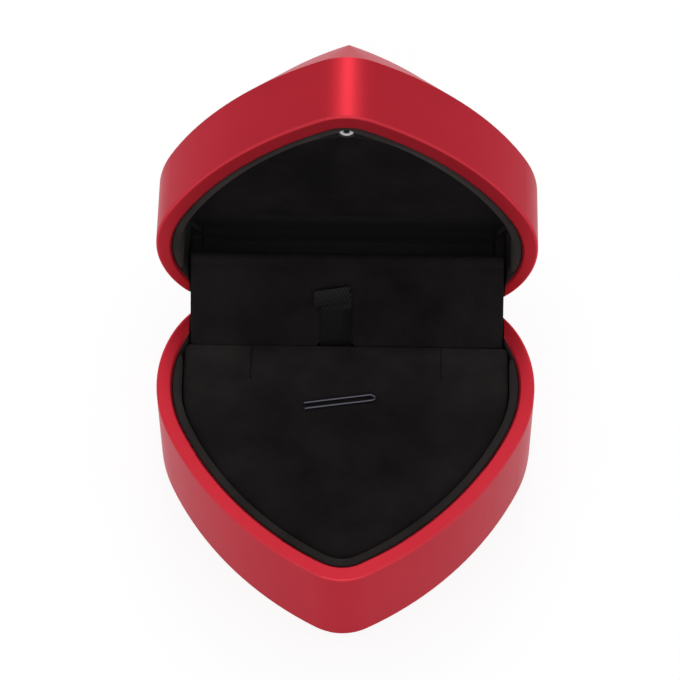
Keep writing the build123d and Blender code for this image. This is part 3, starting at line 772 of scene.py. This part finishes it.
# The pad's suede is painted lighter towards its back, as painted light
pad_painted_light = suede("pad_suede", suede_tones, suede_sheen, "Y", (-7.0, 7.0, 2.0))
# The lid's collar flock is painted lighter towards its top, as painted light
collar_painted_light = suede("lid_flock", flock_tones, flock_sheen, "Z", (45.0, 75.0, 1.6))
slot_of = {part["node"]: part["material_slot"] for part in frame["record"]["subparts"]}
for node, obj in nodes.items():
    obj.data.materials.clear()
    obj.data.materials.append(looks[slot_of[node]])


def dress(obj, body, slot, *stands_for, look=None):
    """Give a finished piece its material, the slot's own unless a look is given, and its body, and hide what
    it stands for.
    """
    obj.data.materials.clear()
    obj.data.materials.append(look or looks[slot])
    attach(obj, body)
    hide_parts(*stands_for)
    return obj


# Flocked insides of the red shells, and a painted highlight of lighter lacquer along their rims' outer edges
def shell_look(middle, normal, rim_side):
    """Which look a face of a shell has: 0 lacquer, 1 flock, 2 the cover's pocket or 3 the painted highlight
    on the rim's edge.

    rim_side is the way from the rim into the shell, up in the lid and down in the base.
    """
    outward = normal.dot(Vector((middle.x, middle.y, 0)).normalized())
    away = rim_side * middle.z
    to_rim = -rim_side * normal.z
    faces_in = outward < -inward_share
    faces_front = normal.y < -facing_share
    faces_rim = to_rim > facing_share
    behind = middle.y > pocket_front
    in_pocket = behind and abs(middle.x) < pocket_half and middle.y < hinge_y / mm - pocket_to_hinge
    if in_pocket and pocket_from < away < pocket_to and (faces_in or faces_front or faces_rim):
        return 2
    if away > flock_from and (faces_in or behind and faces_front):
        return 1
    if away > flock_floor_from and faces_rim:
        return 1
    # Painted highlight: faces on the rounding of the rim's outer edge take the lighter lacquer
    on_highlight = away < highlight_reach and highlight_steep_share < to_rim < highlight_flat_share
    return 3 if on_highlight and outward > highlight_outward_share else 0


# In the lid, the pocket's faces take the black card with its painted light and shade by height, matching the
# panel beside them; in the base, plain suede
for node, matrix, rim_side, pocket in (
    ("base_shell", in_base, -1, "black_suede"),
    ("lid_shell", in_lid, 1, "black_card"),
):
    mesh = nodes[node].data
    for look in (looks["black_flock"], looks[pocket], highlight_lacquers[node]):
        mesh.materials.append(look)
    to_closed = matrix.inverted()
    turned = to_closed.to_3x3()
    for polygon in mesh.polygons:
        normal = (turned @ polygon.normal).normalized()
        polygon.material_index = shell_look(to_closed @ polygon.center, normal, rim_side)


# Pendant pad: its cloth swells over the foam and is drawn in by the elastic, then gets its two slits
def near_elastic(x, y):
    """How far the elastic draws the cloth in at a place, from 0 to 1."""
    drawn = 0
    for end_x, end_y in (elastic_left, elastic_right):
        drawn += exp(-((x - end_x) ** 2 + (y - end_y) ** 2) / dimple_reach_squared)
    return drawn


def pad_start(x, y, edge):
    """Height of the pad's cloth before it swells."""
    at_back = pad_back - y < pad_back_round and abs(x) < half_width - pad_inset - pad_corner
    radius = pad_back_round if at_back else pad_round
    return pad_top - pad_sunk - rounded(edge, radius) - dimple_depth * near_elastic(x, y)


def pad_held(x, y, z):
    """Whether the cloth is held at a point: down its sides, and where the elastic draws it in."""
    return z < pad_top - pad_sunk - pad_sewn_share * pad_back_round or near_elastic(x, y) > dimple_held_share


def pad_height(x, y, edge):
    """Height of the pad's finished skin, with its unevenness and its slits."""
    settled = pad_skin(x, y) if edge > skin_edge else None
    z = pad_start(x, y, edge) if settled is None else settled
    z += sum(ripple(x, y, *values) for values in pad_ripples) * min(1.0, edge)
    aside = abs(abs(x) - slit_x)
    if y > pad_back - slit_length:
        lip = lip_height * exp(-(((aside - lip_aside) / lip_half) ** 2))
        z -= slit_depth * exp(-((aside / slit_half) ** 2)) - lip
    return z


slit_points = []
for side in (-1, 1):
    for y in np.arange(pad_back - slit_length - slit_step, pad_back - slit_back_gap, slit_step):
        slit_points += [(side * slit_x + x, y) for x in slit_across]
dimple_points = []
for end_x, end_y in (elastic_left, elastic_right):
    for radius in dimple_rings:
        for turn in np.arange(dimple_turns) * 2 * pi / dimple_turns:
            dimple_points.append((end_x + radius * cos(turn), end_y + radius * sin(turn)))
side_depth = pad_depth - pad_round
pad_skin = settled_skin(
    "pad", pad_shape, pad_start, pad_held, side_depth, dimple_points, pressure=0.9, limit=pad_swell
)
pad = upholstered(
    "suede_pad",
    pad_shape,
    skin_rings["pad"],
    pad_height,
    side_depth,
    slit_points + dimple_points,
    skin_spacing["pad"],
    in_base,
)
dress(pad, "pad", "black_suede", "pendant_pad", look=pad_painted_light)


# Ceiling pad: thin cloth-covered foam, swelled the same way
def ceiling_start(x, y, edge):
    """Height of the ceiling pad's cloth before it swells, with the lid upside down."""
    return -ceiling_face - ceiling_sunk - rounded(edge, ceiling_round)


def ceiling_held(x, y, z):
    """Whether the ceiling's cloth is held at a point, which it is down its sides."""
    return z < -ceiling_face - ceiling_sunk - ceiling_round + ceiling_sewn


def ceiling_height(x, y, edge):
    """Height of the ceiling pad's finished skin."""
    settled = ceiling_skin(x, y) if edge > skin_edge else None
    z = ceiling_start(x, y, edge) if settled is None else settled
    return z + ripple(x, y, *ceiling_ripple) * min(1.0, edge)


ceiling_skin = settled_skin(
    "ceiling",
    ceiling_shape,
    ceiling_start,
    ceiling_held,
    ceiling_depth,
    [],
    pressure=0.3,
    limit=ceiling_swell,
)
ceiling = upholstered(
    "suede_ceiling",
    ceiling_shape,
    skin_rings["ceiling"],
    ceiling_height,
    ceiling_depth,
    [],
    skin_spacing["ceiling"],
    in_lid @ Matrix.Scale(-1, 4, (0, 0, 1)),
)
dress(ceiling, "lid", "black_suede", "ceiling_pad")


# Cover over the hinge: a section drawn along the box, with a soft roll at its top
def cover_section():
    """Outline of the cover across the box, in (y, z), starting at its lower back."""
    edge_step, roll_step = 30, 12
    section = [(cover_back, cover_low + cover_edge / 2), (cover_back - cover_edge, cover_low)]
    section += arc((cover_front + cover_edge, cover_low + cover_edge), cover_edge, 270, 180, edge_step)
    section += [(cover_front, z) for z in np.linspace(cover_low + face_rise, face_high, cover_face_points)]
    section += [(cover_front + neck_set, roll_rise - neck_drop)]
    section += arc((cover_front + roll_set, roll_rise), roll_radius, *roll_turn, roll_step)
    section += [(cover_back, roll_rise - roll_back_drop)]
    return section


def cover_out(x, z):
    """How far the cover's cloth stands out at a place, with finer gathers on its roll."""
    out = ripple(x, z, *cover_ripple)
    if z > face_high:
        out += ripple(x, z * roll_squeeze, *roll_ripple)
    return out


def cover_lifted(x, z):
    """How far the cover's lower part is lifted at a place, to clear the ribbon."""
    if z >= cover_lift_from:
        return 0.0
    beside = (abs(x - ribbon_x) - ribbon_width / 2 - cover_lift_clear) / cover_lift_slope
    over = 1 - min(1.0, max(0.0, beside))
    return over * cover_lift * (cover_lift_from - z) / (cover_lift_from - cover_low)


def cover_held(x, y, z):
    """Whether the cover's cloth is held at a point: where it is glued to the plate, below the roll."""
    return y > cover_front + cover_glued and z < face_high


section = cover_section()
length = 2 * cover_half
near_end = np.linspace(0, cover_end, cover_end_stations)
between = np.linspace(2 * cover_end, length - 2 * cover_end, cover_stations)
far_end = np.linspace(length - cover_end, length, cover_end_stations)
stations = np.concatenate([near_end, between, far_end]) - cover_half
verts = []
for x in stations:
    depth_share = 1 - cover_end_share * rounded(cover_half - abs(x), cover_end)
    for y, z in section:
        drawn_y = cover_back + (y - cover_back) * depth_share - cover_out(x, z)
        verts.append((x, drawn_y, z + cover_lifted(x, z)))
cover = new_object("suede_cover", verts, row_faces(len(stations), list(range(len(section)))), Matrix())
settle(cover, cover_held, pressure=0.15, limit=cover_swell)
cover.data.transform(in_cover)
dress(cover, "cover", "black_suede", "cover_pad")


# Flocked collars and felt: their solids with rounded edges
def softened(name, node, voxel, rounds):
    """A copy of a soft solid with its edges rounded off."""
    obj = linked(name, nodes[node].data.copy())
    remesh = obj.modifiers.new("skin", "REMESH")
    remesh.mode = "VOXEL"
    remesh.voxel_size = voxel * mm
    remesh.use_smooth_shade = True
    smooth = obj.modifiers.new("soft", "SMOOTH")
    smooth.factor = 0.5
    smooth.iterations = rounds
    depsgraph = bpy.context.evaluated_depsgraph_get()
    final = bpy.data.meshes.new_from_object(obj.evaluated_get(depsgraph))
    obj.modifiers.clear()
    obj.data = final
    final.shade_smooth()
    return obj


base_collar = softened("flocked_collar_base", "base_liner", flock_voxel, flock_rounds)
dress(base_collar, "base", "black_flock", "base_liner")
lid_collar = softened("flocked_collar_lid", "lid_liner", flock_voxel, flock_rounds)
dress(lid_collar, "lid", "black_flock", "lid_liner", look=collar_painted_light)
lid_collar.data.materials.append(looks["black_suede"])
to_closed = in_lid.inverted()
for vertex in lid_collar.data.vertices:
    spot = to_closed @ vertex.co
    spot.z -= collar_rise * max(0.0, 1 - (spot.z - collar_top) / collar_roll)
    vertex.co = in_lid @ spot
# Painted shade: at the tip, the collar's faces beyond a lit band along the rim take the darker suede
rim_line = well_outline(rim_width, hinge_y / mm, rim_corner, 0.0)
at_tip = [face for face in lid_collar.data.polygons if (to_closed @ face.center).y < collar_tip_from]
widths = distance_to(np.array([(to_closed @ face.center).xy for face in at_tip]), rim_line)
for face, width in zip(at_tip, widths):
    face.material_index = int(width > lit_collar_width)
felt = softened("felt_sheet", "bottom_felt", felt_voxel, felt_rounds)
dress(felt, "base", "black_felt", "bottom_felt")


# Pull ribbon: one strip under the board, up behind the pad and leaning on the cover, and its hem
def strip(name, line, width, shift=0.0, tilt=0.0):
    """A flat strip along points in (y, z) metres, with its own width and length as coordinates.

    shift moves it sideways, and tilt raises its right edge over its left one along its length.
    """
    shares = np.linspace(-0.5, 0.5, ribbon_points["across"])
    verts, places = [], []
    run = -sum(hypot(y - last_y, z - last_z) for (last_y, last_z), (y, z) in zip(line, line[1:]))
    for i, (y, z) in enumerate(line):
        ahead, behind = line[min(i + 1, len(line) - 1)], line[max(i - 1, 0)]
        along = Vector((ahead[0] - behind[0], ahead[1] - behind[1])).normalized()
        normal = Vector((-along.y, along.x))
        if i:
            run += hypot(y - line[i - 1][0], z - line[i - 1][1])
        for face in (-1, 1):
            for share in shares:
                to_edge = (0.5 - abs(share)) / ribbon_edge_share
                half = face * (ribbon_thickness * mm) / 2 * min(1.0, to_edge**0.5)
                lift = along * (share * tilt)
                x = ribbon_x * mm + shift + share * width
                verts.append((x, y + lift.x + normal.x * half, z + lift.y + normal.y * half))
                places.append((share * width / mm, run / mm))
    count = len(shares)
    ring = list(range(count)) + list(range(2 * count - 1, count - 1, -1))
    mesh = bpy.data.meshes.new(name)
    mesh.from_pydata(verts, [], row_faces(len(line), ring))
    layer = mesh.uv_layers.new(name="ribbon")
    for loop in mesh.loops:
        layer.data[loop.index].uv = places[loop.vertex_index]
    for polygon in mesh.polygons:
        polygon.use_smooth = len(polygon.vertices) == 4
    made = bmesh.new()
    made.from_mesh(mesh)
    bmesh.ops.recalc_face_normals(made, faces=made.faces)
    made.to_mesh(mesh)
    made.free()
    mesh.materials.append(looks["twill_ribbon"])
    return linked(name, mesh)


anchor_low, anchor_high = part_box("ribbon_anchor")
turn_y, turn_z = joints["ribbon_flop"]["pos_m"][1:]
lean = Vector((sin(radians(cover_angle)), cos(radians(cover_angle))))
lean_start = Vector((turn_y, turn_z))
free_length = ribbon_free * mm


def strap_line():
    """Middle line of the strap: flat under the board, bent up, then leaning on the cover."""
    bend = ribbon_bend * mm
    half = ribbon_thickness / 2 * mm
    glue_z = anchor_low.z + half
    rise_y = anchor_high.y - half
    bend_y = rise_y - bend
    line = []
    for share in np.linspace(0, 1, ribbon_points["glued"]):
        line.append((anchor_low.y + share * (bend_y - anchor_low.y), glue_z))
    for turn in np.radians(np.linspace(0, 90, ribbon_bend_steps + 1)[1:]):
        line.append((bend_y + bend * sin(turn), glue_z + bend * (1 - cos(turn))))
    rise = turn_z - ribbon_before_turn * mm - glue_z - bend
    for share in np.linspace(risen_from_share, 1, ribbon_points["risen"]):
        line.append((rise_y, glue_z + bend + share * rise))
    for share in np.linspace(leaning_from_share, 1, ribbon_points["leaning"]):
        line.append(tuple(lean_start + lean * ((free_length - hem_fold * mm) * share)))
    return line


def hem_line():
    """Middle line of the hem, which lies on the strap's free end."""
    outward = Vector((-lean.y, lean.x)) * (hem_out * mm)
    line = []
    for share in np.linspace(0, 1, ribbon_points["hem"]):
        length = free_length - hem_length * mm * (1 - share)
        line.append(tuple(lean_start + lean * length + outward))
    return line


strap = strip("twill_strap", strap_line(), ribbon_width * mm)
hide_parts("ribbon_anchor", "pull_ribbon")
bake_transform(strap)
hem = strip("twill_hem", hem_line(), hem_width * mm, hem_shift * mm, hem_tilt * mm)
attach(hem, "ribbon")


# Elastic loop
def tube(name, points, radius, matrix):
    """A round cord through points, smoothed."""
    curve = bpy.data.curves.new(name, "CURVE")
    curve.dimensions = "3D"
    curve.bevel_depth = radius * mm
    curve.bevel_resolution = 5
    curve.resolution_u = 8
    spline = curve.splines.new("NURBS")
    spline.points.add(len(points) - 1)
    for target, spot in zip(spline.points, points):
        target.co = (*(matrix @ Vector(spot)), 1)
    spline.order_u = 3
    spline.use_endpoint_u = True
    holder = linked(name + "_line", curve)
    depsgraph = bpy.context.evaluated_depsgraph_get()
    mesh = bpy.data.meshes.new_from_object(holder.evaluated_get(depsgraph))
    bpy.data.objects.remove(holder)
    mesh.shade_smooth()
    return linked(name, mesh)


def elastic_path():
    """Points of the cord: up at the left, over the pad and down at the right, and back beside that."""
    run = (Vector(elastic_right) - Vector(elastic_left)).normalized()
    aside = Vector((-run.y, run.x)) * (elastic_spread / 2)
    above = pad_top + elastic_rise
    sunk = above - elastic_plunge
    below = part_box("elastic_loop")[0].z / mm - rim_z / mm + elastic_radius
    path = []
    for order, gather in zip((1, -1), elastic_gather_shares):
        shift = aside * order
        left, right = Vector(elastic_left) + shift, Vector(elastic_right) + shift
        drawn = right + shift * gather
        strand = [(left, below), (left, sunk), (left, above), (left + run * elastic_past_left, above)]
        strand.append(((left + right) / 2, above + elastic_crown))
        strand += [(right - run * gap, above) for gap in elastic_before_right]
        strand += [(drawn, above), (drawn, sunk), (drawn, below)]
        path += [(*spot, z) for spot, z in strand[::order]]
    return path


dress(tube("elastic_cord", elastic_path(), elastic_radius, in_base), "pad", "navy_elastic", "elastic_loop")


# Floor, light and camera
def seen_rays(tree):
    """1 for rays that show the background: from the camera, off glossy faces or through clear ones."""
    path = add(tree, "ShaderNodeLightPath").outputs
    glossy = maths(tree, "MAXIMUM", path["Is Camera Ray"], path["Is Glossy Ray"])
    return maths(tree, "MAXIMUM", glossy, path["Is Transmission Ray"])


def mix_shaders(tree, share, first, second, output):
    """Show one shader or the other, by a share."""
    mix = add(tree, "ShaderNodeMixShader")
    tree.links.new(share, mix.inputs["Fac"])
    tree.links.new(first, mix.inputs[1])
    tree.links.new(second, mix.inputs[2])
    tree.links.new(mix.outputs["Shader"], tree.nodes[output].inputs["Surface"])


def stage():
    """Pale floor that stays nearly white for the camera and keeps a soft shadow."""
    corners = [(x * floor_reach, y * floor_reach, 0) for x, y in ((-1, -1), (1, -1), (1, 1), (-1, 1))]
    mesh = bpy.data.meshes.new("floor")
    mesh.from_pydata(corners, [], [(0, 1, 2, 3)])
    floor = linked("floor", mesh)
    floor.location.z = -floor_drop
    made, tree, shader = material("pale_floor")
    set_inputs(shader, {"Base Color": (0.82, 0.82, 0.82, 1), "Roughness": 0.9})
    glow = add(tree, "ShaderNodeEmission", Strength=1.08)
    share = maths(tree, "MULTIPLY", seen_rays(tree), 0.8)
    mix_shaders(tree, share, shader.outputs["BSDF"], glow.outputs["Emission"], "Material Output")
    mesh.materials.append(made)


def lamp(name, spot, aim, size, power):
    """A soft rectangular lamp that faces a point."""
    light = bpy.data.lights.new(name, "AREA")
    light.shape = "RECTANGLE"
    light.size, light.size_y = size
    light.energy = power
    obj = linked(name, light)
    obj.location = spot
    obj.rotation_euler = (Vector(aim) - Vector(spot)).to_track_quat("-Z", "Y").to_euler()


def world():
    """A soft white room, pure white where the camera looks past the object."""
    made = bpy.data.worlds.new("studio")
    bpy.context.scene.world = made
    made.use_nodes = True
    tree = made.node_tree
    room = tree.nodes["Background"]
    set_inputs(room, {"Color": (1, 1, 1, 1), "Strength": 0.5})
    white = add(tree, "ShaderNodeBackground", Strength=1.0)
    room_light, white_light = room.outputs["Background"], white.outputs["Background"]
    mix_shaders(tree, seen_rays(tree), room_light, white_light, "World Output")


def camera():
    """Camera at the photograph's place, found by fitting the heart's edges.

    Its distance and shifts are shares of the heart's width, from the middle of the rim's plane.
    """
    elevation, yaw, roll = radians(57.774), radians(1.5627), radians(-0.4689)
    distance_share, right_share, up_share = 8.2145, -0.0142, 0.1105
    focal_px, frame_px, sensor = 3108.23, 680, 36.0
    back = Vector((sin(yaw) * cos(elevation), -cos(yaw) * cos(elevation), sin(elevation)))
    right = Vector((cos(yaw), sin(yaw), 0))
    up = back.cross(right)
    right, up = cos(roll) * right + sin(roll) * up, cos(roll) * up - sin(roll) * right
    data = bpy.data.cameras.new("camera")
    data.sensor_width = sensor
    data.lens = sensor * focal_px / frame_px
    data.clip_start, data.clip_end = 0.01, 50
    obj = linked("camera", data)
    from_middle = right * right_share + up * up_share + back * distance_share
    spot = from_middle * (2 * half_width * mm) + Vector((0, 0, rim_z))
    turn = Matrix((right, up, back)).transposed().to_4x4()
    obj.matrix_world = Matrix.Translation(spot) @ turn
    bpy.context.scene.camera = obj


stage()
world()
for name, values in lamps.items():
    lamp(name, *values)
camera()
bpy.context.scene.view_settings.view_transform = "Standard"
